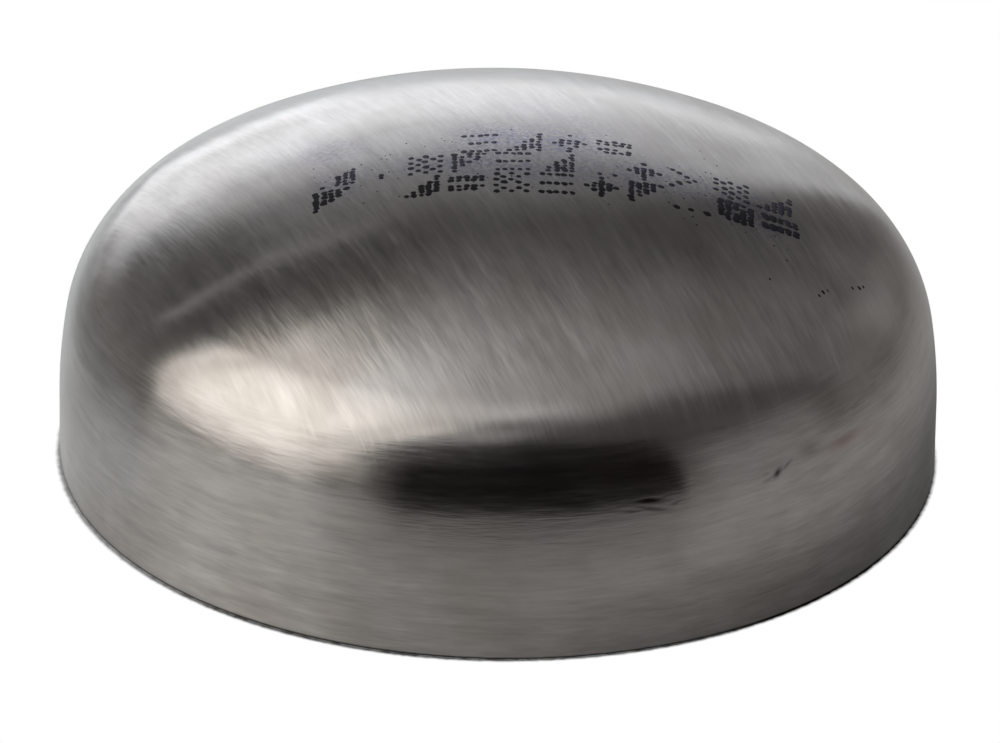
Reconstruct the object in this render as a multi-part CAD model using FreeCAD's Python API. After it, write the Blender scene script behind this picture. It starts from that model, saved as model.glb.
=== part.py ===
"""Sanitary weld cap: one deep-drawn stainless steel head that closes the end of a tube.

The frame has its origin at the centre of the weld face, with +Z along the axis towards the crown.
All sizes are in millimetres. The part is a shell of even wall, turned about Z. From the open end
up, its outer skin is a straight land, a slack shoulder, a tight knuckle and a shallow crown, each
tangent to the next. The inner skin lies one wall inside and shares their centres.
"""

import FreeCAD, Part
import math
import os

# The open end, which is welded to the tube face to face.
OUTSIDE_DIAMETER = 51.0
WALL = 2.0
LAND_HEIGHT = 4.0
OUTER_EDGE_ROUND = 0.25
INNER_EDGE_ROUND = 0.15

# The drawn head above the land. The radii are those of its outer skin.
SHOULDER_RADIUS = 30.0
SHOULDER_TURN_DEG = 9.0
KNUCKLE_RADIUS = 8.1
CROWN_RADIUS = 41.6

PARTS_FOLDER = "parts"
NODE = "weld_cap"

OUTER_RADIUS = OUTSIDE_DIAMETER / 2
INNER_RADIUS = OUTER_RADIUS - WALL
LEVEL = 0.0
UPRIGHT = math.pi / 2
FULL_TURN_DEG = 360


def at(radius, height):
    """The point of the half section at a radius from the axis and a height above the weld face."""
    return FreeCAD.Vector(radius, 0, height)


def on_circle(centre, radius, angle):
    """The point of a circle in the half section, at an angle above the horizontal."""
    return at(centre.x + radius * math.cos(angle), centre.z + radius * math.sin(angle))


def arc(centre, radius, start, end):
    """An arc of the half section between two angles above the horizontal."""
    middle = (start + end) / 2
    return Part.Arc(*(on_circle(centre, radius, angle) for angle in (start, middle, end))).toShape()


def line(start, end):
    """A straight stretch of the half section."""
    return Part.LineSegment(start, end).toShape()


def head_bends():
    """The bends of the head from the land to the axis: centre, outer radius, start and end angle."""
    turned = math.radians(SHOULDER_TURN_DEG)
    shoulder_centre = at(OUTER_RADIUS - SHOULDER_RADIUS, LAND_HEIGHT)
    knuckle_centre = on_circle(shoulder_centre, SHOULDER_RADIUS - KNUCKLE_RADIUS, turned)
    drop = math.sqrt((CROWN_RADIUS - KNUCKLE_RADIUS) ** 2 - knuckle_centre.x**2)
    crown_centre = at(0, knuckle_centre.z - drop)
    crown_edge = math.atan2(drop, knuckle_centre.x)
    return [
        (shoulder_centre, SHOULDER_RADIUS, LEVEL, turned),
        (knuckle_centre, KNUCKLE_RADIUS, turned, crown_edge),
        (crown_centre, CROWN_RADIUS, crown_edge, UPRIGHT),
    ]


def skin(depth, edge_round):
    """The land and head that lie depth inside the outer skin, from the broken edge to the axis."""
    radius = OUTER_RADIUS - depth
    land = line(at(radius, edge_round), at(radius, LAND_HEIGHT))
    return [land] + [arc(centre, bend - depth, start, end) for centre, bend, start, end in head_bends()]


def crown_cut():
    """The wall cut through on the axis."""
    centre, radius, _, top = head_bends()[-1]
    return line(on_circle(centre, radius, top), on_circle(centre, radius - WALL, top))


def rim():
    """The weld face between its two broken edges, from the bore to the outside."""
    inner_centre = at(INNER_RADIUS + INNER_EDGE_ROUND, INNER_EDGE_ROUND)
    outer_centre = at(OUTER_RADIUS - OUTER_EDGE_ROUND, OUTER_EDGE_ROUND)
    return [
        arc(inner_centre, INNER_EDGE_ROUND, -2 * UPRIGHT, -UPRIGHT),
        line(at(inner_centre.x, 0), at(outer_centre.x, 0)),
        arc(outer_centre, OUTER_EDGE_ROUND, -UPRIGHT, LEVEL),
    ]


def weld_cap():
    """The whole cap, turned from its half section."""
    inner_skin = skin(WALL, INNER_EDGE_ROUND)
    section = Part.Wire(rim() + skin(0, OUTER_EDGE_ROUND) + [crown_cut()] + inner_skin[::-1])
    return Part.Face(section).revolve(at(0, 0), FreeCAD.Vector(0, 0, 1), FULL_TURN_DEG)


def main():
    os.makedirs(PARTS_FOLDER, exist_ok=True)
    cap = weld_cap()
    cap.exportStep(os.path.join(PARTS_FOLDER, NODE + ".step"))
    height = max(vertex.Z for vertex in cap.Vertexes)
    print(NODE, cap.ShapeType, "valid", cap.isValid(), "height", round(height, 3), "volume", round(cap.Volume, 2))


main()
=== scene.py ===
"""Sanitary weld cap: the looks of a belt-ground stainless steel shell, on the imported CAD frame.

Everything is in metres and in the frame of the construction: the origin is at the centre of the
weld face, and +Z runs up the axis to the crown. The camera stands on the -Y side and looks down.
Azimuths are measured from the camera's side, and grow towards +X, the right of the picture.
"""

import math
import random

import bpy
from mathutils import Matrix, Vector, noise


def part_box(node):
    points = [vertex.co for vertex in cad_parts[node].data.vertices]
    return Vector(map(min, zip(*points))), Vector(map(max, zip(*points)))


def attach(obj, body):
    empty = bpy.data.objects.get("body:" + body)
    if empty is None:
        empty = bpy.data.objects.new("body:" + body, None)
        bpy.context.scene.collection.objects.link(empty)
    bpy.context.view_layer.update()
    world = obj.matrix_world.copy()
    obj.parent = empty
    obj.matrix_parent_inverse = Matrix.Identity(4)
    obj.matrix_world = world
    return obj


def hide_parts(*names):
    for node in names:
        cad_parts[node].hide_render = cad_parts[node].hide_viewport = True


MM = 0.001
NODE = "weld_cap"
BODY = "root"
SEED = 51

# The section of the wall, as it is constructed.
WALL = 2.0 * MM
LAND_HEIGHT = 4.0 * MM
OUTER_EDGE_ROUND = 0.25 * MM
INNER_EDGE_ROUND = 0.15 * MM
SHOULDER_RADIUS = 30.0 * MM
SHOULDER_TURN = math.radians(9.0)
KNUCKLE_RADIUS = 8.1 * MM
CROWN_RADIUS = 41.6 * MM
UPRIGHT = math.pi / 2

# The mesh: how far apart its rings and columns lie, and where they lie closer for the dents. The
# rings end a share of a step short of the axis, the rounded edge of the rim has rings of its own, and
# the inside takes steps that are a few times as long.
RING_STEP = 0.3 * MM
KNUCKLE_STEP = 0.18 * MM
FINE_STEP = 0.07 * MM
FINE_RINGS = (8.0 * MM, 10.1 * MM)
FINE_SECTORS = [(16.5, 26.0), (36.5, 43.0)]
COLUMN_STEP = math.radians(1.15)
LAST_STEP = 0.6
EDGE_RINGS = 5
INSIDE_COARSER = 3

# The numbers of the shell's materials.
OUTSIDE, RIM, INSIDE = range(3)

# The unevenness that grinding by hand leaves in the skin, and the ripples in the knuckle. The
# ripples rise and end within a band of heights, and are strongest on the left. The noise of each is
# how fast its finer layers fade, how much finer each layer is, and how many layers there are.
WAVE_LENGTH = 9.0 * MM
WAVE_DEPTH = 0.012 * MM
WAVE_NOISE = (0.8, 2.2, 2)
RIPPLE_LENGTH = 3.2 * MM
RIPPLE_WIDTH = 0.6 * MM
RIPPLE_DEPTH = 0.0075 * MM
RIPPLE_NOISE = (0.9, 2.0, 2)
RIPPLE_BAND = (7.0 * MM, 9.2 * MM, 11.0 * MM, 12.6 * MM)
RIPPLE_SIDE = (-2.0 * MM, 12.0 * MM)
RIPPLE_LEAST = 0.25

# The dents: azimuth in degrees, way up from the weld face, half length, half width, depth, the turn
# of their length from level in degrees, and how dark the painted shade in them is.
DENTS = [
    (20.0, 9.55 * MM, 0.62 * MM, 0.13 * MM, 0.020 * MM, -5.0, 0.95),
    (20.6, 9.00 * MM, 0.75 * MM, 0.10 * MM, 0.012 * MM, -13.0, 0.55),
    (23.6, 9.12 * MM, 0.34 * MM, 0.08 * MM, 0.008 * MM, 8.0, 0.3),
    (17.6, 9.05 * MM, 0.50 * MM, 0.08 * MM, 0.008 * MM, -8.0, 0.3),
    (39.3, 9.24 * MM, 0.30 * MM, 0.16 * MM, 0.020 * MM, 35.0, 0.9),
    (41.0, 9.50 * MM, 0.34 * MM, 0.08 * MM, 0.010 * MM, 28.0, 0.45),
    (37.7, 9.02 * MM, 0.30 * MM, 0.09 * MM, 0.008 * MM, 20.0, 0.3),
    (37.4, 9.45 * MM, 0.24 * MM, 0.07 * MM, 0.006 * MM, -25.0, 0.25),
    (-33.5, 2.9 * MM, 2.6 * MM, 0.75 * MM, 0.030 * MM, -8.0, 0.0),
    (-52.0, 1.2 * MM, 1.4 * MM, 0.40 * MM, 0.012 * MM, 0.0, 0.0),
    (12.0, 2.2 * MM, 2.2 * MM, 0.50 * MM, 0.012 * MM, 3.0, 0.0),
]

# How many half lengths from its middle a dent or a stain is followed.
SPOT_REACH = 3

# The stains: azimuth in degrees, way up, half length, half width, and how strong they are.
DARK_STAINS = [(45.3, 9.81 * MM, 0.75 * MM, 0.40 * MM, 0.30)]
RUST_STAINS = [
    (52.0, 9.25 * MM, 1.3 * MM, 0.45 * MM, 0.45),
    (58.0, 9.0 * MM, 1.2 * MM, 0.6 * MM, 0.2),
]

# The range that most of a noise from 0 to 1 lies in.
NOISE_MIDDLE = (0.35, 0.65)

# The grinding lines. On the crown they run one way, seen from above, in wide bows: the bend is their
# shift sideways for the square of the way along. Round the skirt they are level. Each kind has a width
# and a length. The crown's lines are stronger in some patches, and give way to the skirt's over a
# ragged border at a height. The relief is how deep they are cut, and the grain how much they smear
# the reflections.
LINE_AZIMUTH = math.radians(23.6)
LINE_BEND = 2.6
LINE_DETAIL = 3.0
LINE_HARSHNESS = 0.88
CROWN_LINE = (0.9 * MM, 8 * MM)
SKIRT_LINE = (0.8 * MM, 7 * MM)
SKIRT_LINE_STRENGTH = 1.25
PATCH_SIZE = 5 * MM
PATCH_STRENGTH = (0.7, 1.35)
CROWN_LINES_FADE = (12.3 * MM, 2.4 * MM)
CROWN_LINES_RAGGED = 3 * MM
LINE_RELIEF = 0.012 * MM
GRAIN = 0.84

# How a line changes the colour and the roughness: the change over its whole range, and the least.
LINE_TONE = (0.65, 0.675)
LINE_GLOSS = (0.12, 0.14)

# The colours of the steel, of its mottling, and of the overspray, rust and dark stains that lie on
# it, and of the painted shade in its dents.
STEEL_COLOUR = (0.527, 0.504, 0.489, 1)
MOTTLE_SIZE = 4.5 * MM
MOTTLE_DETAIL = 3.0
MOTTLE_DARK = (0.93, 0.915, 0.90, 1)
MOTTLE_LIGHT = (1.05, 1.05, 1.055, 1)
SPRAY_COLOUR = (0.23, 0.23, 0.38, 1)
SPRAY_SPECKLE = 0.22 * MM
SPRAY_RANGE = (0.3, 0.75)
RUST_COLOUR = (0.25, 0.12, 0.10, 1)
# The near black of the painted shade in the dents, also used for the dark stains, and how far that shade
# spreads.
DENT_SHADE_AND_STAIN_COLOUR = (0.015, 0.013, 0.013, 1)
DENT_SHADE_SPREAD = 0.7

# The turned faces: colour, the width and length of the lines, their contrast, and the roughness.
# The gloss is the share of the contrast that goes into the roughness.
CUT_RIM = ((0.60, 0.585, 0.57, 1), 0.35 * MM, 9 * MM, 0.9, 0.24)
TURNED_INSIDE = ((0.55, 0.53, 0.515, 1), 1.0 * MM, 5 * MM, 0.5, 0.27)
TURNED_GLOSS = 0.3
TURNED_GRAIN = 0.7
TURNED_RELIEF = 0.006 * MM

# The ink marks. Each is five columns by seven rows of dots, from the far side to the near side.
INK_MARKS = {
    "bars": ("#####", ".....", ".....", "#####", ".....", ".....", "#####"),
    "wedge": ("....#", "....#", "...##", "..###", "..###", ".####", "#####"),
    "slope": ("#####", "####.", "####.", "###..", "##...", "#....", "#...."),
    "checks": ("#.#.#", ".#.#.", "#.#.#", ".#.#.", "#.#.#", ".#.#.", "#.#.#"),
    "diamond": ("..#..", "..#..", ".###.", "#####", ".###.", "..#..", "..#.."),
    "zigzag": ("#....", ".#...", "..#..", "...#.", "..#..", ".#...", "#...."),
    "block": ("####.", "#####", "#####", "##.##", "#####", "#####", ".####"),
    "twin": (".....", "#####", "#####", ".....", "#####", "#####", "....."),
    "low": (".....", ".....", ".....", ".....", ".....", ".....", "#.#.#"),
    "spot": (".....", ".....", ".....", ".....", ".....", "..#..", "..#.."),
}

# The rows of marks. A row is the place of its first mark, the pitch, how it runs over the crown as a
# bow, a slope and a level in millimetres, the height of its marks, the size of its dots, and the
# marks from left to right.
INK_ROWS = [
    (
        -1.32 * MM,
        2.59 * MM,
        (-0.004, 0.103, -0.31),
        2.0 * MM,
        0.20 * MM,
        ("bars", "wedge", "diamond", "twin"),
    ),
    (
        -9.39 * MM,
        2.51 * MM,
        (0.002, 0.045, -2.61),
        1.8 * MM,
        0.205 * MM,
        ("wedge", "spot", "checks", "slope", "bars", "wedge", "low", "diamond", "zigzag", "checks", "wedge"),
    ),
    (
        -9.74 * MM,
        2.58 * MM,
        (0.002, 0.045, -4.90),
        1.8 * MM,
        0.225 * MM,
        ("slope", "spot", "wedge", "twin", "checks", "bars", "diamond", "slope", "low", "block", "twin"),
    ),
]

# The haze of fine overspray round the marks: x, y, half width and half depth in millimetres, and how
# strong it is. It lies on the crown only.
INK_HAZE = [
    (-10.0, 0.4, 2.0, 1.8, 0.5),
    (-9.3, -3.6, 1.6, 1.5, 0.6),
    (-0.6, 0.3, 2.0, 1.3, 0.9),
    (3.5, 0.1, 2.8, 1.4, 0.85),
    (-3.0, -2.6, 3.2, 1.5, 0.7),
    (2.5, -3.2, 4.5, 1.6, 0.65),
    (9.0, -2.4, 3.4, 1.8, 0.6),
    (14.3, -3.4, 2.4, 2.0, 0.9),
    (3.0, 3.0, 7.0, 3.5, 0.25),
]
HAZE_LOWEST = 12 * MM

# How the dots lie in a mark: how far apart its columns are, how far off its place a dot may be, the
# share of dots that are missing, and the range of their sizes and of how far they are drawn out.
INK_COLUMN = 0.43 * MM
INK_JITTER = 0.03 * MM
INK_MISSING = 0.07
INK_SIZES = (0.8, 1.15)
INK_STRETCH = (0, 0.15)

# The fine specks of ink: how many, from where to where along x, the middle and the spread along y
# and the range of their sizes in millimetres, and how far they are drawn out.
INK_SPECKS = 150
SPECK_SIDES = (-11, 17)
SPECK_ROW = (-2.6, 1.9)
SPECK_SIZES = (0.03, 0.07)
SPECK_STRETCH = 0.3

# Dirt specks on the right of the crown: x, y and size in millimetres, and how far all of them are
# drawn out.
DIRT_SPECKS = [
    (18.48, -8.33, 0.10),
    (18.25, -8.80, 0.07),
    (18.75, -8.00, 0.06),
    (20.60, -6.28, 0.09),
    (20.20, -6.65, 0.08),
    (20.85, -5.95, 0.06),
    (15.40, -9.20, 0.06),
]
DIRT_STRETCH = 0.9

# The form of one dot: its corners, how uneven its edge is, its depth over its width, how far its
# middle stands proud and how far its edge is sunk.
DOT_CORNERS = 10
DOT_EDGE = (0.85, 1.15)
DOT_LOW = 0.9
DOT_HEIGHT = 0.005 * MM
DOT_SUNK = 0.001 * MM

# The ink. It turns from pale to dark from the first row to the last, over a blotchy border.
INK_PALE = (0.125, 0.12, 0.195, 1)
INK_DARK = (0.008, 0.007, 0.012, 1)
INK_TURN = (-0.5 * MM, 5.5 * MM)
INK_BLOTCH = (1.2 * MM, 4 * MM)
INK_ROUGHNESS = 0.5
INK_SHINE = 0.12

# The camera. It aims a little below its pivot, and a hair to the right of it.
CAMERA_DISTANCE = 0.7
CAMERA_ELEVATION = math.radians(26.87)
CAMERA_PIVOT = Vector((0, 0, 10 * MM))
CAMERA_DROP = 4.24 * MM
CAMERA_SIDE = 0.09 * MM
CAMERA_ROLL = math.radians(0.94)
CAMERA_NEAR = 0.05
FOCAL_LENGTH_PIXELS = 12080.0
PICTURE_WIDTH_PIXELS = 1000
SENSOR_WIDTH = 36.0

# The studio. A soft box is an azimuth, an elevation, a width and a height, all in degrees as the
# cap sees them, a roll, a distance, a radiance, a colour, and in degrees how wide its soft edges are,
# first those at its sides and then those above and below.
FOCUS = Vector((0, 0, 12 * MM))
WARM = (1.0, 0.962, 0.895)
COOL = (0.92, 0.955, 1.0)
PLAIN = (1.0, 1.0, 1.0)
SOFT_BOXES = {
    "key": (-73.5, 39.0, 56.5, 65.5, 0.0, 0.60, 0.87, WARM, 6.0, 7.0),
    "key_core": (-75.0, 38.5, 37.0, 43.5, 0.0, 0.59, 0.66, WARM, 8.0, 8.0),
    "key_side": (-40.0, 18.0, 11.5, 14.5, 0.0, 0.60, 0.40, WARM, 5.0, 5.0),
    "key_left": (-103.5, 25.0, 5.0, 30.0, 0.0, 0.58, 0.25, WARM, 6.0, 10.0),
    "key_corner": (-115.0, 47.0, 10.0, 8.5, 0.0, 0.58, 0.76, WARM, 3.5, 3.5),
    "key_top": (-110.0, 67.0, 10.0, 7.0, 0.0, 0.58, 0.22, WARM, 4.0, 4.0),
    "key_low": (-72.0, 6.0, 14.0, 5.0, 0.0, 0.30, 0.30, WARM, 4.0, 2.0),
    "corner": (-11.5, 54.5, 19.0, 15.5, 0.0, 0.60, 0.35, PLAIN, 7.0, 7.0),
    "fill": (-52.0, 78.5, 31.5, 19.0, 0.0, 0.60, 0.46, PLAIN, 10.0, 10.0),
    "top": (-96.0, 88.0, 39.0, 48.0, 0.0, 0.61, 0.235, PLAIN, 12.0, 12.0),
    "top_rear": (170.0, 63.0, 26.0, 12.0, 0.0, 0.61, 0.055, PLAIN, 8.0, 8.0),
    "rear": (-176.0, 14.5, 47.0, 30.0, 0.0, 0.60, 0.53, COOL, 3.0, 13.0),
    "rear_core": (-163.5, 10.5, 40.0, 14.5, 0.0, 0.59, 0.54, COOL, 20.0, 9.0),
    "rear_high": (-172.5, 23.0, 34.0, 41.0, 0.0, 0.61, 0.20, COOL, 14.0, 20.0),
    "rear_low": (-173.0, 0.4, 42.0, 6.2, 0.0, 0.25, 0.70, COOL, 4.0, 3.0),
    "rear_line": (-162.5, 0.0, 15.0, 5.5, 0.0, 0.10, 0.50, COOL, 3.0, 2.0),
    "rear_left": (-139.0, -1.0, 10.0, 5.0, 0.0, 0.10, 0.25, COOL, 4.0, 3.0),
    "rear_right": (155.0, -2.0, 9.0, 6.0, 0.0, 0.095, 0.22, COOL, 3.0, 3.0),
    "left": (-124.0, 12.0, 34.0, 40.0, 0.0, 0.61, 0.045, PLAIN, 10.0, 10.0),
    "right": (72.5, 13.5, 36.0, 24.5, 0.0, 0.60, 0.11, PLAIN, 10.0, 10.0),
    "right_rear": (137.5, 15.5, 21.5, 22.0, 0.0, 0.60, 0.10, PLAIN, 8.0, 8.0),
    "right_high": (119.5, 37.5, 33.0, 57.0, 0.0, 0.60, 0.08, PLAIN, 12.0, 12.0),
    "strip": (-139.5, 40.5, 30.0, 0.8, 144.5, 0.60, 0.75, PLAIN, 3.0, 0.3),
    "under_left": (-50.0, -48.0, 44.0, 30.0, 0.0, 0.60, 0.45, PLAIN, 12.0, 12.0),
    "under_right": (120.0, -60.0, 26.0, 34.0, 0.0, 0.60, 0.30, PLAIN, 10.0, 10.0),
}

# The black card in front of the cap: its place, where it begins and ends, how far its right corner
# is lifted, its height, and how softly it begins on the left. It is darkest up to the middle, and
# turns a little lighter on the right.
DARK_CARD_PLACE = -66.8 * MM
DARK_CARD_SPAN = (-38.0 * MM, 61.5 * MM)
DARK_CARD_LIFT = 5.0 * MM
DARK_CARD_HEIGHT = 69.5 * MM
DARK_CARD_FEATHER = 16 * MM
DARK_CARD_CORE = (0.012, 0.011, 0.011, 1)
DARK_CARD_COLOUR = (0.034, 0.028, 0.027, 1)
DARK_CARD_TURN = (4 * MM, 30 * MM)

# The room: its brightness at the horizon and overhead, how fast it falls between, its tint, and how
# much of its white for the camera metal and glass see.
ROOM_LOW = 0.13
ROOM_HIGH = 0.021
ROOM_FALL = 4.0
ROOM_TINT = (1.08, 1.0, 0.95)
SEEN_IN_METAL = 0.06

# The floor. The tone that the metal sees in it is painted light and shade: it turns from pale on the
# left to darker on the right, and falls off with the distance from the cap.
FLOOR_COLUMNS = 96
FLOOR_MIDDLE_RING = 38.25 * MM
FLOOR_RADIUS = 6.0
FLOOR_LIGHT = (0.85, 0.92, 0.97, 1)
FLOOR_DARK = (0.47, 0.46, 0.45, 1)
FLOOR_TURN = (-55 * MM, 15 * MM)
FLOOR_LEAN = -0.35
FLOOR_FALL = (40 * MM, 150 * MM)
FLOOR_FAR = 0.62
FLOOR_ROUGHNESS = 0.3
FLOOR_SEEN = 1.0
FLOOR_IN_METAL = 0.17

# The parts of the floor with painted shade: close to the rim on the right, out on the left, and at
# the foot of the black card. Each has a strength and the places between which it comes or goes.
SHADE_COLOUR = (0.02, 0.02, 0.02, 1)
RIM_SHADE = 0.60
RIM_SHADE_REACH = (25.4 * MM, 38.0 * MM)
RIM_SHADE_X = (-14 * MM, 22 * MM)
LEFT_SHADE = 0.45
LEFT_SHADE_X = (-50 * MM, -33 * MM)
LEFT_SHADE_Y = (-27 * MM, -8 * MM)
CARD_SHADE = 0.40
CARD_SHADE_COMES = (-8 * MM, 18 * MM)
CARD_SHADE_GOES = (60 * MM, 74 * MM)
CARD_SHADE_Y = (-56 * MM, -38 * MM)

# The painted contact shadow, a dark line between the rim and the floor: between which distances from
# the axis it clears, how much wider it is on the left, and its unevenness as a size and a swing. It is
# black on the right, a speckled grey from the middle to the left, and paler still on the far left.
CONTACT_SHADOW = (25.41 * MM, 25.73 * MM)
CONTACT_WIDER = 0.08 * MM
CONTACT_WIDER_X = (-14 * MM, 12 * MM)
CONTACT_UNEVEN = (0.5 * MM, 0.15 * MM)
CONTACT_GREY = 0.11
CONTACT_GREY_X = (5 * MM, 17 * MM)
CONTACT_SPECK = 0.7 * MM
CONTACT_SPECKLE = (0.36, 0.60, 0.45, 1.2)
CONTACT_PALE = 0.16
CONTACT_PALE_X = (-25 * MM, -14 * MM)

random.seed(SEED)
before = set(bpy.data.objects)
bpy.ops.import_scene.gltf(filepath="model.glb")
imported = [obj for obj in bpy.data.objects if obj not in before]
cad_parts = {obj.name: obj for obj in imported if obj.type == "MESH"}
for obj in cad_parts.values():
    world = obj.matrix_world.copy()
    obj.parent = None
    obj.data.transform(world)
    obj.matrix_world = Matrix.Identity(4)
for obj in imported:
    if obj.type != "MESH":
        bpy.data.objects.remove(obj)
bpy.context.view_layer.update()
OUTER_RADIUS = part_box(NODE)[1][0]


def from_azimuth(azimuth, elevation):
    """The unit vector at an azimuth from the camera's side and an elevation, both in radians."""
    level = math.cos(elevation)
    return Vector((level * math.sin(azimuth), -level * math.cos(azimuth), math.sin(elevation)))


class Graph:
    """A short way to write a node tree: each call adds one node and returns its first output."""

    def __init__(self, tree):
        self.tree = tree
        tree.nodes.clear()

    def node(self, kind, inputs=(), **settings):
        """Adds a node. inputs is a dict of socket name or number to a value or another socket."""
        made = self.tree.nodes.new("ShaderNode" + kind)
        for name, value in settings.items():
            setattr(made, name, value)
        for name, value in dict(inputs).items():
            if isinstance(value, bpy.types.NodeSocket):
                self.tree.links.new(value, made.inputs[name])
            else:
                made.inputs[name].default_value = value
        return made

    def math(self, operation, *values, clamp=False):
        made = self.node("Math", dict(enumerate(values)), operation=operation, use_clamp=clamp)
        return made.outputs[0]

    def vector(self, operation, *values):
        made = self.node("VectorMath", dict(enumerate(values)), operation=operation)
        return made.outputs["Value" if operation in ("DOT_PRODUCT", "LENGTH") else "Vector"]

    def combine(self, x, y, z):
        return self.node("CombineXYZ", {0: x, 1: y, 2: z}).outputs[0]

    def smooth(self, value, low, high, start=0.0, end=1.0):
        """start below low and end above high, with a smooth step between."""
        inputs = {"Value": value, "From Min": low, "From Max": high, "To Min": start, "To Max": end}
        return self.node("MapRange", inputs, interpolation_type="SMOOTHSTEP").outputs[0]

    def noise(self, place, detail=2.0, roughness=0.5, scale=1.0):
        """Noise from about 0 to 1 whose features are 1 / scale wide."""
        inputs = {"Vector": place, "Scale": scale, "Detail": detail, "Roughness": roughness}
        return self.node("TexNoise", inputs).outputs[0]

    def swung(self, value, strength, middle=0.5):
        """Noise round 0.5 with its swing multiplied, and moved to another middle."""
        swing = self.math("MULTIPLY", self.math("SUBTRACT", value, 0.5), strength)
        return self.math("ADD", swing, middle)

    def lines_round(self, place, width, length):
        """Noise drawn out into fine lines round the axis, on any face that is turned about it."""
        split = self.node("SeparateXYZ", {0: place}).outputs
        level = self.combine(split[0], split[1], 0.0)
        along = self.node("VectorMath", {0: self.vector("NORMALIZE", level)}, operation="SCALE")
        along.inputs["Scale"].default_value = OUTER_RADIUS / length
        up = self.math("SUBTRACT", split[2], self.vector("LENGTH", level))
        across = self.combine(0.0, 0.0, self.math("DIVIDE", up, width))
        return self.noise(self.vector("ADD", along.outputs[0], across), LINE_DETAIL, LINE_HARSHNESS)

    def painted(self, name):
        """A number that the mesh carries at each point."""
        return self.node("Attribute", attribute_name=name).outputs["Fac"]

    def uphill(self, normal):
        """The direction in a face that climbs straight up, in which level lines smear reflections."""
        rise = self.node("SeparateXYZ", {0: normal}).outputs[2]
        scaled = self.node("VectorMath", {0: normal, "Scale": rise}, operation="SCALE").outputs[0]
        return self.vector("NORMALIZE", self.vector("SUBTRACT", (0, 0, 1), scaled))

    def mix(self, share, first, second):
        """A blend of two numbers."""
        return self.node("Mix", {0: share, 2: first, 3: second}).outputs[0]

    def tint(self, share, first, second, blend="MIX"):
        """A blend of two colours."""
        made = self.node("Mix", {0: share, 6: first, 7: second}, data_type="RGBA", blend_type=blend)
        return made.outputs[2]

    def output(self, surface, kind="OutputMaterial"):
        self.node(kind, {"Surface": surface})


def material(name):
    """A new material and its node tree."""
    made = bpy.data.materials.new(name)
    made.use_nodes = True
    return made, Graph(made.node_tree)


def add_object(name, data):
    """Puts data into the scene as an object."""
    made = bpy.data.objects.new(name, data)
    bpy.context.scene.collection.objects.link(made)
    return made


def bends(depth):
    """Shoulder, knuckle and crown at a depth in the wall: centre, radius, start and end angle."""
    shoulder = (OUTER_RADIUS - SHOULDER_RADIUS, LAND_HEIGHT)
    reach = SHOULDER_RADIUS - KNUCKLE_RADIUS
    knuckle = (
        shoulder[0] + reach * math.cos(SHOULDER_TURN),
        shoulder[1] + reach * math.sin(SHOULDER_TURN),
    )
    drop = math.sqrt((CROWN_RADIUS - KNUCKLE_RADIUS) ** 2 - knuckle[0] ** 2)
    edge = math.atan2(drop, knuckle[0])
    return [
        (shoulder, SHOULDER_RADIUS - depth, 0, SHOULDER_TURN),
        (knuckle, KNUCKLE_RADIUS - depth, SHOULDER_TURN, edge),
        ((0, knuckle[1] - drop), CROWN_RADIUS - depth, edge, UPRIGHT),
    ]


def outer_path():
    """The outer skin from the weld face to the axis, as (length, centre, radius, start, end) pieces.

    The straight land has no centre. Its radius is the distance from the axis."""
    edge_centre = (OUTER_RADIUS - OUTER_EDGE_ROUND, OUTER_EDGE_ROUND)
    pieces = [(edge_centre, OUTER_EDGE_ROUND, -UPRIGHT, 0)]
    pieces.append((None, OUTER_RADIUS, OUTER_EDGE_ROUND, LAND_HEIGHT))
    return measured(pieces + bends(0))


def inner_path():
    """The inner skin from the weld face to the axis, in the same form."""
    radius = OUTER_RADIUS - WALL
    edge_centre = (radius + INNER_EDGE_ROUND, INNER_EDGE_ROUND)
    pieces = [(edge_centre, INNER_EDGE_ROUND, -UPRIGHT, -2 * UPRIGHT)]
    pieces.append((None, radius, INNER_EDGE_ROUND, LAND_HEIGHT))
    return measured(pieces + bends(WALL))


def measured(pieces):
    """The same pieces, each with its length in front."""
    return [
        (abs(end - start) * (radius if centre else 1), centre, radius, start, end)
        for centre, radius, start, end in pieces
    ]


def walk(path, distance):
    """(radius, height, angle of the normal from level) at a distance along a path."""
    for piece in path:
        length, centre, radius, start, end = piece
        if distance <= length or piece is path[-1]:
            break
        distance -= length
    here = start + (end - start) * min(distance / length, 1)
    if centre is None:
        return radius, here, 0
    return centre[0] + radius * math.cos(here), centre[1] + radius * math.sin(here), here


def ring_distances(path, coarse):
    """Where the rings of a skin lie along its path, from the weld face to just short of the axis."""
    land_end = path[0][0] + path[1][0]
    shoulder_end = land_end + path[2][0]
    knuckle_end = shoulder_end + path[3][0]
    total = knuckle_end + path[4][0]
    found = [path[0][0] * ring / EDGE_RINGS for ring in range(EDGE_RINGS)]
    distance = path[0][0]
    while distance < total - LAST_STEP * RING_STEP * coarse:
        found.append(distance)
        if FINE_RINGS[0] < distance < FINE_RINGS[1] and coarse == 1:
            distance += FINE_STEP
        elif shoulder_end < distance < knuckle_end:
            distance += KNUCKLE_STEP * coarse
        else:
            distance += RING_STEP * coarse
    return found


def column_angles():
    """The azimuths of the mesh's columns, closer together where the dents are."""
    fine = FINE_STEP / OUTER_RADIUS
    sectors = [tuple(math.radians(edge) for edge in sector) for sector in FINE_SECTORS]
    found = []
    angle = -math.pi
    while angle < math.pi - fine:
        found.append(angle)
        inside = any(low < angle < high for low, high in sectors)
        angle += fine if inside else COLUMN_STEP
    return found


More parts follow.
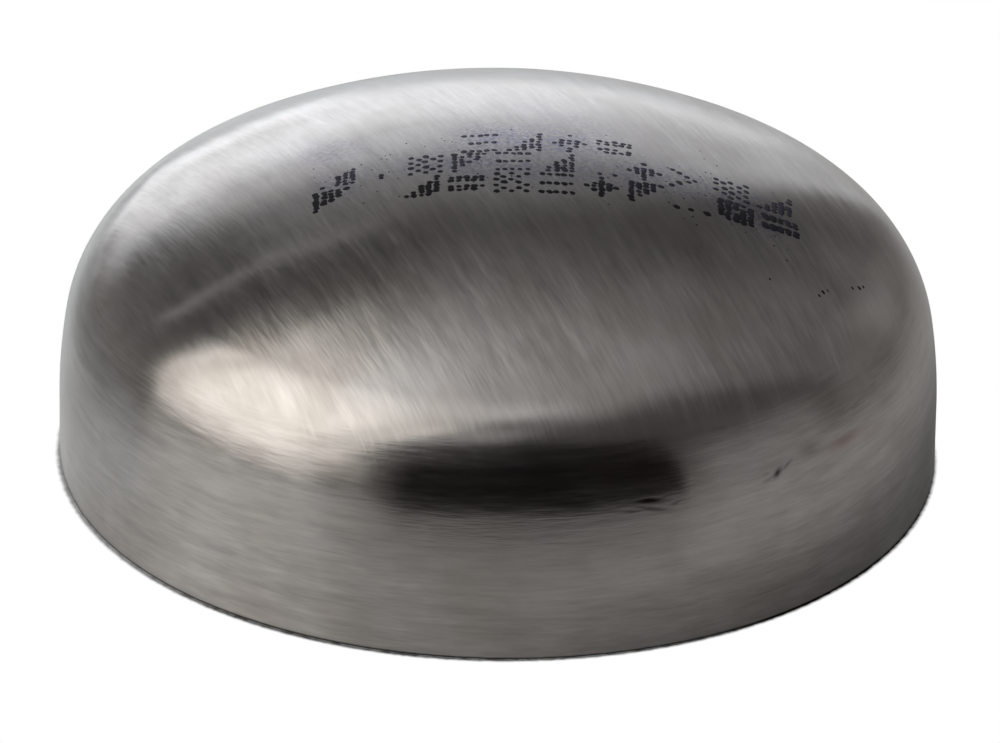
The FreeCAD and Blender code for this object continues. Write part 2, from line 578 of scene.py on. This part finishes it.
def spot(azimuth, distance, middle, up, half_length, half_width, turn=0.0):
    """1 in the middle of an oval spot on the outer skin, and falling softly to 0 outside it."""
    along = (azimuth - math.radians(middle)) * OUTER_RADIUS
    across = distance - up
    if max(abs(along), abs(across)) > SPOT_REACH * half_length:
        return 0
    cosine, sine = math.cos(math.radians(turn)), math.sin(math.radians(turn))
    u = (along * cosine + across * sine) / half_length
    v = (across * cosine - along * sine) / half_width
    return math.exp(-u * u - v * v)


def dent_depth(azimuth, distance):
    """How deep the dents are at an azimuth and a distance up the outer skin."""
    return sum(spot(azimuth, distance, *place, turn) * depth for *place, depth, turn, _ in DENTS)


def dent_shade_and_stains(azimuth, distance):
    """How dark the painted shade in the dents and the dark stains is there."""
    dark = 0
    for *place, _, turn, strength in DENTS:
        if strength:
            dark += spot(azimuth, distance, *place, turn) ** DENT_SHADE_SPREAD * strength
    return min(1, dark + sum(spot(azimuth, distance, *stain[:4]) * stain[4] for stain in DARK_STAINS))


def rust(azimuth, distance):
    """How strong the reddish stains are there."""
    return min(1, sum(spot(azimuth, distance, *stain[:4]) * stain[4] for stain in RUST_STAINS))


def haze(place):
    """How thick the overspray of the ink is at a place on the crown."""
    if place.z < HAZE_LOWEST:
        return 0
    x, y = place.x / MM, place.y / MM
    total = sum(
        strength * math.exp(-(((x - middle) / wide) ** 2) - ((y - centre) / deep) ** 2)
        for middle, centre, wide, deep, strength in INK_HAZE
    )
    return min(1, total)


def step_up(value, low, high):
    """A smooth step from 0 at low to 1 at high."""
    share = min(1, max(0, (value - low) / (high - low)))
    return share * share * (3 - 2 * share)


def unevenness(place):
    """How far the outer skin stands proud of its true form at a place."""
    rise = WAVE_DEPTH * noise.fractal(place / WAVE_LENGTH, *WAVE_NOISE)
    low, full, falling, high = RIPPLE_BAND
    band = step_up(place.z, low, full) * (1 - step_up(place.z, falling, high))
    if band:
        band *= RIPPLE_LEAST + (1 - RIPPLE_LEAST) * step_up(-place.x, *RIPPLE_SIDE)
        scaled = Vector((place.x / RIPPLE_LENGTH, place.y / RIPPLE_LENGTH, place.z / RIPPLE_WIDTH))
        rise += RIPPLE_DEPTH * band * noise.fractal(scaled, *RIPPLE_NOISE)
    return rise


def outer_point(azimuth, distance, path):
    """A point of the outer skin, with its waves and dents."""
    radius, height, angle = walk(path, distance)
    place = from_azimuth(azimuth, 0) * radius
    place.z = height
    normal = from_azimuth(azimuth, angle)
    rise = unevenness(place) * min(1, distance / LAND_HEIGHT)
    return place + normal * (rise - dent_depth(azimuth, distance))


def inner_point(azimuth, distance, path):
    """A point of the inner skin."""
    radius, height, _ = walk(path, distance)
    place = from_azimuth(azimuth, 0) * radius
    place.z = height
    return place


def skin_places(path, coarse):
    """Where a skin has its points, ring by ring, as (azimuth, distance along the path)."""
    columns = column_angles()
    return [(azimuth, distance) for distance in ring_distances(path, coarse) for azimuth in columns]


def shell_faces(columns, outer_rings, rings):
    """The faces of the closed shell, and the material of each.

    The points are the outer rings and then the inner ones, each from the rim up, and after all the
    rings the outer and the inner tip. columns is how many points a ring has."""
    faces, slots = [], []

    def add(face, slot):
        faces.append(face[::-1] if slot == INSIDE else face)
        slots.append(slot)

    def band(lower, upper, slot):
        low, high = lower * columns, upper * columns
        for here in range(columns):
            after = (here + 1) % columns
            add([low + here, low + after, high + after, high + here], slot)

    def close(ring, tip, slot):
        low = ring * columns
        for here in range(columns):
            add([low + here, low + (here + 1) % columns, tip], slot)

    for ring in range(outer_rings - 1):
        band(ring, ring + 1, OUTSIDE)
    close(outer_rings - 1, rings * columns, OUTSIDE)
    band(outer_rings, 0, RIM)
    for ring in range(outer_rings, rings - 1):
        band(ring, ring + 1, INSIDE)
    close(rings - 1, rings * columns + 1, INSIDE)
    return faces, slots


def shell_mesh():
    """The whole shell as one closed mesh, which carries its painted dent shade, dark stains, rust and haze
    at its points.
    """
    outer, inner = outer_path(), inner_path()
    outside, inside = skin_places(outer, 1), skin_places(inner, INSIDE_COARSER)
    points = [outer_point(*at, outer) for at in outside]
    marks = {
        # The painted shade in the dents, together with the dark stains.
        "dent_shade_and_stains": [dent_shade_and_stains(*at) for at in outside],
        "rust": [rust(*at) for at in outside],
        "haze": [haze(place) for place in points],
    }
    points += [inner_point(*at, inner) for at in inside]
    points.append(outer_point(0, sum(piece[0] for piece in outer), outer))
    points.append(inner_point(0, sum(piece[0] for piece in inner), inner))
    columns = len(column_angles())
    outer_rings = len(outside) // columns
    faces, slots = shell_faces(columns, outer_rings, outer_rings + len(inside) // columns)
    mesh = bpy.data.meshes.new(NODE + "_shell")
    mesh.from_pydata(points, [], faces)
    mesh.polygons.foreach_set("material_index", slots)
    mesh.polygons.foreach_set("use_smooth", [True] * len(faces))
    for name, values in marks.items():
        layer = mesh.attributes.new(name, "FLOAT", "POINT")
        layer.data.foreach_set("value", values + [0.0] * (len(points) - len(values)))
    mesh.update()
    return mesh


def grinding_lines(g, place, line):
    """The lines as a height from 0 to 1, and the share of the crown's among them."""
    across = Vector((-line.y, line.x, 0))
    along = g.vector("DOT_PRODUCT", place, line)
    bent = g.math("MULTIPLY", g.math("MULTIPLY", along, along), LINE_BEND)
    side = g.math("SUBTRACT", g.vector("DOT_PRODUCT", place, across), bent)
    width, length = CROWN_LINE
    stretched = g.combine(g.math("DIVIDE", side, width), g.math("DIVIDE", along, length), 0.0)
    straight = g.noise(stretched, LINE_DETAIL, LINE_HARSHNESS)
    patches = g.smooth(g.noise(place, scale=1 / PATCH_SIZE), *NOISE_MIDDLE, *PATCH_STRENGTH)
    straight = g.swung(straight, patches)
    level = g.swung(g.lines_round(place, *SKIRT_LINE), SKIRT_LINE_STRENGTH)
    height = g.node("SeparateXYZ", {0: place}).outputs[2]
    ragged = g.swung(straight, CROWN_LINES_RAGGED, 0.0)
    middle, soft = CROWN_LINES_FADE
    crown = g.smooth(g.math("ADD", height, ragged), middle - soft / 2, middle + soft / 2)
    return g.mix(crown, level, straight), crown


def steel_colour(g, place, lines):
    """The colour of the steel with its lines, mottling, overspray, rust, dark stains and painted shade in
    the dents.
    """
    change, least = LINE_TONE
    tone = g.math("ADD", g.math("MULTIPLY", lines, change), least)
    colour = g.tint(1.0, STEEL_COLOUR, g.combine(tone, tone, tone), blend="MULTIPLY")
    mottle = g.smooth(g.noise(place, MOTTLE_DETAIL, scale=1 / MOTTLE_SIZE), *NOISE_MIDDLE)
    colour = g.tint(1.0, colour, g.tint(mottle, MOTTLE_DARK, MOTTLE_LIGHT), blend="MULTIPLY")
    speckle = g.smooth(g.noise(place, scale=1 / SPRAY_SPECKLE), *SPRAY_RANGE)
    colour = g.tint(g.math("MULTIPLY", g.painted("haze"), speckle), colour, SPRAY_COLOUR)
    colour = g.tint(g.painted("rust"), colour, RUST_COLOUR)
    # Near black in the dents: painted shade. The dark stains are the steel's own colour.
    return g.tint(g.painted("dent_shade_and_stains"), colour, DENT_SHADE_AND_STAIN_COLOUR)


def ground_steel():
    """The outside: straight grinding lines over the crown, lines round the axis on the skirt."""
    made, g = material("ground_steel")
    place = g.node("TexCoord").outputs["Object"]
    normal = g.node("NewGeometry").outputs["Normal"]
    line = from_azimuth(LINE_AZIMUTH, 0)
    lines, crown = grinding_lines(g, place, line)
    over_crown = g.vector("NORMALIZE", g.vector("CROSS_PRODUCT", normal, line))
    chance = g.node("TexWhiteNoise", {"Vector": place}, noise_dimensions="3D").outputs["Value"]
    on_crown = g.math("LESS_THAN", chance, crown)
    directions = {0: on_crown, 4: g.uphill(normal), 5: over_crown}
    smear = g.node("Mix", directions, data_type="VECTOR").outputs[1]
    change, least = LINE_GLOSS
    shader = g.node(
        "BsdfPrincipled",
        {
            "Base Color": steel_colour(g, place, lines),
            "Metallic": 1.0,
            "Roughness": g.math("ADD", g.math("MULTIPLY", lines, change), least),
            "Anisotropic": GRAIN,
            "Tangent": smear,
            "Normal": g.node("Bump", {"Distance": LINE_RELIEF, "Height": lines}).outputs[0],
        },
    )
    g.output(shader.outputs[0])
    return made


def marking_ink():
    """The blue-black marking ink, fainter and bluer in the first row than in the last."""
    made, g = material("marking_ink")
    place = g.node("TexCoord").outputs["Object"]
    down = g.math("MULTIPLY", g.node("SeparateXYZ", {0: place}).outputs[1], -1.0)
    size, swing = INK_BLOTCH
    blotch = g.swung(g.noise(place, scale=1 / size), swing, 0.0)
    dark = g.smooth(g.math("ADD", down, blotch), *INK_TURN)
    colour = g.tint(dark, INK_PALE, INK_DARK)
    crown_centre = (0, 0, bends(0)[2][0][1])
    flat = g.vector("NORMALIZE", g.vector("SUBTRACT", place, crown_centre))
    shader = g.node(
        "BsdfPrincipled",
        {
            "Base Color": colour,
            "Roughness": INK_ROUGHNESS,
            "Specular IOR Level": INK_SHINE,
            "Normal": flat,
        },
    )
    g.output(shader.outputs[0])
    return made


def crown_point(x, y, rise):
    """A point at x and y on the skin of the crown, and a rise over it."""
    (_, height), radius = bends(0)[2][:2]
    centre = Vector((0, 0, height))
    place = Vector((x, y, height + math.sqrt(radius**2 - x * x - y * y)))
    place.z += unevenness(place)
    return place + (place - centre).normalized() * rise


def dot(x, y, size, stretch, points, faces):
    """Adds one flat closed drop of ink or dirt on the crown, a little raised in the middle."""
    first = len(points)
    turn = random.uniform(0, math.pi)
    lengthwise = from_azimuth(LINE_AZIMUTH, 0).xy
    for k in range(DOT_CORNERS):
        angle = turn + 2 * math.pi * k / DOT_CORNERS
        reach = size * random.uniform(*DOT_EDGE)
        step = Vector((math.cos(angle), math.sin(angle) * DOT_LOW)) * reach
        step += lengthwise * step.dot(lengthwise) * stretch
        points.append(crown_point(x + step.x, y + step.y, -DOT_SUNK))
    points.append(crown_point(x, y, DOT_HEIGHT))
    points.append(crown_point(x, y, -2 * DOT_SUNK))
    for k in range(DOT_CORNERS):
        after = (k + 1) % DOT_CORNERS
        faces.append((first + k, first + after, first + DOT_CORNERS))
        faces.append((first + after, first + k, first + DOT_CORNERS + 1))


def ink_marks():
    """Three rows of abstract dot marks on the crown, the fine specks round them, and the dirt specks."""
    points, faces = [], []
    for start, pitch, (bow, slope, level), height, size, marks in INK_ROWS:
        for number, name in enumerate(marks):
            rows = INK_MARKS[name]
            for row, cells in enumerate(rows):
                for column, cell in enumerate(cells):
                    if cell == "." or random.random() < INK_MISSING:
                        continue
                    x = start + number * pitch + (column - len(cells) // 2) * INK_COLUMN
                    x += random.gauss(0, INK_JITTER)
                    y = (bow * x / MM * x / MM + slope * x / MM + level) * MM
                    y += (0.5 - row / (len(rows) - 1)) * height + random.gauss(0, INK_JITTER)
                    reach = size * random.uniform(*INK_SIZES)
                    dot(x, y, reach, random.uniform(*INK_STRETCH), points, faces)
    for _ in range(INK_SPECKS):
        x, y = random.uniform(*SPECK_SIDES) * MM, random.gauss(*SPECK_ROW) * MM
        dot(x, y, random.uniform(*SPECK_SIZES) * MM, SPECK_STRETCH, points, faces)
    for x, y, size in DIRT_SPECKS:
        dot(x * MM, y * MM, size * MM, DIRT_STRETCH, points, faces)
    mesh = bpy.data.meshes.new("ink_marks")
    mesh.from_pydata(points, [], faces)
    mesh.polygons.foreach_set("use_smooth", [True] * len(faces))
    mesh.materials.append(marking_ink())
    marks = add_object("ink_marks", mesh)
    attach(marks, BODY)
    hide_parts(NODE)


def turned_steel(name, colour, width, length, contrast, roughness):
    """A face with fine lines round the axis, such as the cut rim or the polished inside."""
    made, g = material(name)
    place = g.node("TexCoord").outputs["Object"]
    normal = g.node("NewGeometry").outputs["Normal"]
    lines = g.lines_round(place, width, length)
    tone = g.swung(lines, contrast, 1.0)
    shader = g.node(
        "BsdfPrincipled",
        {
            "Base Color": g.tint(1.0, colour, g.combine(tone, tone, tone), blend="MULTIPLY"),
            "Metallic": 1.0,
            "Roughness": g.swung(lines, contrast * TURNED_GLOSS, roughness),
            "Anisotropic": TURNED_GRAIN,
            "Tangent": g.uphill(normal),
            "Normal": g.node("Bump", {"Distance": TURNED_RELIEF, "Height": lines}).outputs[0],
        },
    )
    g.output(shader.outputs[0])
    return made


def cap_shell():
    """The shell in the form of the solid, with its three finishes in the order of their numbers."""
    shell = add_object("cap_shell", shell_mesh())
    shell.data.materials.append(ground_steel())
    shell.data.materials.append(turned_steel("cut_rim", *CUT_RIM))
    shell.data.materials.append(turned_steel("polished_inside", *TURNED_INSIDE))
    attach(shell, BODY)
    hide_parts(NODE)


def background_share(g, seen, in_metal):
    """seen for camera rays and in_metal for rays that metal or glass sends on, else 0."""
    path = g.node("LightPath").outputs
    bent = g.math("MAXIMUM", path["Is Glossy Ray"], path["Is Transmission Ray"])
    for_camera = g.math("MULTIPLY", path["Is Camera Ray"], seen)
    return g.math("MAXIMUM", for_camera, g.math("MULTIPLY", bent, in_metal))


def floor_mesh():
    """A wide flat ring round the foot of the cap."""
    mesh = bpy.data.meshes.new("floor")
    count = FLOOR_COLUMNS
    radii = (OUTER_RADIUS - OUTER_EDGE_ROUND, FLOOR_MIDDLE_RING, FLOOR_RADIUS)
    angles = [2 * math.pi * k / count for k in range(count)]
    points = [from_azimuth(angle, 0) * radius for radius in radii for angle in angles]
    faces = []
    for near in range(0, count * (len(radii) - 1), count):
        far = near + count
        for k in range(count):
            after = (k + 1) % count
            faces.append((near + k, far + k, far + after, near + after))
    mesh.from_pydata(points, [], faces)
    return mesh


def painted_contact_shadow(g, place, radius, x):
    """How clear of the painted contact shadow a place is, from 0 to 1, and how light that dark line looks
    there.
    """
    size, swing = CONTACT_UNEVEN
    uneven = g.math("ADD", radius, g.swung(g.noise(place, scale=1 / size), swing, 0.0))
    wider = g.smooth(x, *CONTACT_WIDER_X, CONTACT_WIDER, 0.0)
    clear = g.smooth(g.math("SUBTRACT", uneven, wider), *CONTACT_SHADOW)
    speckle = g.smooth(g.noise(place, scale=1 / CONTACT_SPECK), *CONTACT_SPECKLE)
    grey = g.math("MULTIPLY", g.smooth(x, *CONTACT_GREY_X, CONTACT_GREY, 0.0), speckle)
    return clear, g.math("ADD", grey, g.smooth(x, *CONTACT_PALE_X, CONTACT_PALE, 0.0))


def floor_shades(g, radius, x, y):
    """How dark the painted shade is by the rim, out on the left and at the foot of the card."""
    near_rim = g.smooth(radius, *RIM_SHADE_REACH, 1.0, 0.0)
    by_rim = g.math("MULTIPLY", near_rim, g.smooth(x, *RIM_SHADE_X, 0.0, RIM_SHADE))
    leftwards = g.smooth(x, *LEFT_SHADE_X, LEFT_SHADE, 0.0)
    far_left = g.math("MULTIPLY", leftwards, g.smooth(y, *LEFT_SHADE_Y))
    comes = g.smooth(x, *CARD_SHADE_COMES)
    goes = g.smooth(x, *CARD_SHADE_GOES, 1.0, 0.0)
    in_front = g.smooth(y, *CARD_SHADE_Y, CARD_SHADE, 0.0)
    by_card = g.math("MULTIPLY", g.math("MULTIPLY", comes, goes), in_front)
    return by_rim, far_left, by_card


def pale_floor():
    """The floor's material: plain white with the painted contact shadow for the camera, and see-through
    from below.

    The camera sees its emission only. Its tone, with its painted light and shades, and a faint glow are
    what the metal sees."""
    made, g = material("pale_floor")
    place = g.node("TexCoord").outputs["Object"]
    x, y = g.node("SeparateXYZ", {0: place}).outputs[:2]
    radius = g.vector("LENGTH", place)
    clear, line = painted_contact_shadow(g, place, radius, x)
    sideways = g.math("ADD", x, g.math("MULTIPLY", y, FLOOR_LEAN))
    # Painted light on the left and painted shade on the right, fading with the distance from the cap.
    colour = g.tint(g.smooth(sideways, *FLOOR_TURN), FLOOR_LIGHT, FLOOR_DARK)
    fall = g.smooth(radius, *FLOOR_FALL, 1.0, FLOOR_FAR)
    colour = g.tint(1.0, colour, g.combine(fall, fall, fall), blend="MULTIPLY")
    lit = fall
    for shade in floor_shades(g, radius, x, y):
        colour = g.tint(shade, colour, SHADE_COLOUR)
        lit = g.math("MULTIPLY", lit, g.math("SUBTRACT", 1.0, shade))
    # The painted contact shadow, in the tone the metal sees.
    colour = g.tint(clear, SHADE_COLOUR, colour)
    diffuse = g.node("BsdfPrincipled", {"Base Color": colour, "Roughness": FLOOR_ROUGHNESS}).outputs[0]
    background = background_share(g, FLOOR_SEEN, g.math("MULTIPLY", lit, FLOOR_IN_METAL))
    # The painted contact shadow dims the floor's white for the camera.
    shown = g.math("MULTIPLY", background, g.mix(clear, line, 1.0))
    glow = g.node("Emission", {"Strength": shown}).outputs[0]
    lit_floor = g.node("AddShader", {0: diffuse, 1: glow}).outputs[0]
    by_camera = g.node("LightPath").outputs["Is Camera Ray"]
    front = g.node("MixShader", {0: by_camera, 1: lit_floor, 2: glow}).outputs[0]
    back = g.node("BsdfTransparent").outputs[0]
    behind = g.node("NewGeometry").outputs["Backfacing"]
    g.output(g.node("MixShader", {0: behind, 1: front, 2: back}).outputs[0])
    return made


def floor():
    """A wide pale floor that is open under the cap and can't be seen from below."""
    mesh = floor_mesh()
    mesh.materials.append(pale_floor())
    add_object("floor", mesh)


def dark_card():
    """A black card that stands in front of the cap, for the dark band in the knuckle."""
    low, high = DARK_CARD_SPAN
    y = DARK_CARD_PLACE
    mesh = bpy.data.meshes.new("dark_card")
    top = DARK_CARD_HEIGHT
    corners = [(low, y, 0), (high, y, DARK_CARD_LIFT), (high, y, top), (low, y, top)]
    mesh.from_pydata(corners, [], [(0, 1, 2, 3)])
    made, g = material("black_card")
    across = g.node("SeparateXYZ", {0: g.node("TexCoord").outputs["Object"]}).outputs[0]
    colour = g.tint(g.smooth(across, *DARK_CARD_TURN), DARK_CARD_CORE, DARK_CARD_COLOUR)
    black = g.node("BsdfDiffuse", {"Color": colour}).outputs[0]
    solid = g.smooth(across, low, low + DARK_CARD_FEATHER)
    clear = g.node("BsdfTransparent").outputs[0]
    g.output(g.node("MixShader", {0: solid, 1: clear, 2: black}).outputs[0])
    mesh.materials.append(made)
    card = add_object("dark_card", mesh)
    card.visible_camera = False


def soft_box(name, azimuth, elevation, width, height, roll, distance, radiance, colour, side, end):
    """An area lamp that faces the cap, fills a given angle of what it sees and fades at its edge."""
    lamp = bpy.data.lights.new(name, "AREA")
    lamp.shape = "RECTANGLE"
    lamp.size = 2 * distance * math.tan(math.radians((width + side) / 2))
    lamp.size_y = 2 * distance * math.tan(math.radians((height + end) / 2))
    lamp.energy = radiance * math.pi * lamp.size * lamp.size_y
    lamp.color = colour
    lamp.use_nodes = True
    g = Graph(lamp.node_tree)
    across = g.node("SeparateXYZ", {0: g.node("NewGeometry").outputs["Parametric"]}).outputs
    level = 1.0
    for place, size, edge in ((across[0], width, side), (across[1], height, end)):
        nearest = g.math("MINIMUM", place, g.math("SUBTRACT", 1.0, place))
        level = g.math("MULTIPLY", level, g.smooth(nearest, 0.0, edge / (size + edge)))
    g.output(g.node("Emission", {"Strength": level}).outputs[0], kind="OutputLight")
    towards = from_azimuth(math.radians(azimuth), math.radians(elevation))
    box = add_object(name, lamp)
    turn = towards.to_track_quat("Z", "Y").to_matrix().to_4x4()
    turn @= Matrix.Rotation(math.radians(roll), 4, "Z")
    box.matrix_world = Matrix.Translation(FOCUS + towards * distance) @ turn
    box.visible_camera = False


def room():
    """A plain dim room, a little lighter low down, which the camera sees as white."""
    world = bpy.data.worlds.new("room")
    world.use_nodes = True
    bpy.context.scene.world = world
    g = Graph(world.node_tree)
    height = g.node("SeparateXYZ", {0: g.node("TexCoord").outputs["Generated"]}).outputs[2]
    low = g.math("POWER", g.math("SUBTRACT", 1.0, height, clamp=True), ROOM_FALL)
    level = g.math("ADD", g.math("MULTIPLY", low, ROOM_LOW - ROOM_HIGH), ROOM_HIGH)
    tinted = g.combine(*(g.math("MULTIPLY", level, share) for share in ROOM_TINT))
    plain = g.node("Background", {"Color": tinted}).outputs[0]
    white = g.node("Background", {"Color": (1, 1, 1, 1)}).outputs[0]
    shown = background_share(g, 1.0, SEEN_IN_METAL)
    g.output(g.node("MixShader", {0: shown, 1: plain, 2: white}).outputs[0], kind="OutputWorld")


def camera():
    """The camera at the photograph's viewing angle."""
    level = math.cos(CAMERA_ELEVATION)
    back = Vector((0, -level, math.sin(CAMERA_ELEVATION)))
    up = Vector((0, math.sin(CAMERA_ELEVATION), level))
    place = CAMERA_PIVOT + back * CAMERA_DISTANCE
    aim = CAMERA_PIVOT - up * CAMERA_DROP + Vector((CAMERA_SIDE, 0, 0))
    data = bpy.data.cameras.new("camera")
    data.sensor_width = SENSOR_WIDTH
    data.lens = FOCAL_LENGTH_PIXELS * SENSOR_WIDTH / PICTURE_WIDTH_PIXELS
    data.clip_start = CAMERA_NEAR
    made = add_object("camera", data)
    turn = (aim - place).to_track_quat("-Z", "Y").to_matrix().to_4x4()
    made.matrix_world = Matrix.Translation(place) @ turn @ Matrix.Rotation(CAMERA_ROLL, 4, "Z")
    bpy.context.scene.camera = made


def main():
    bpy.context.scene.view_settings.view_transform = "Standard"
    camera()
    room()
    for name, values in SOFT_BOXES.items():
        soft_box(name, *values)
    dark_card()
    floor()
    cap_shell()
    ink_marks()


main()
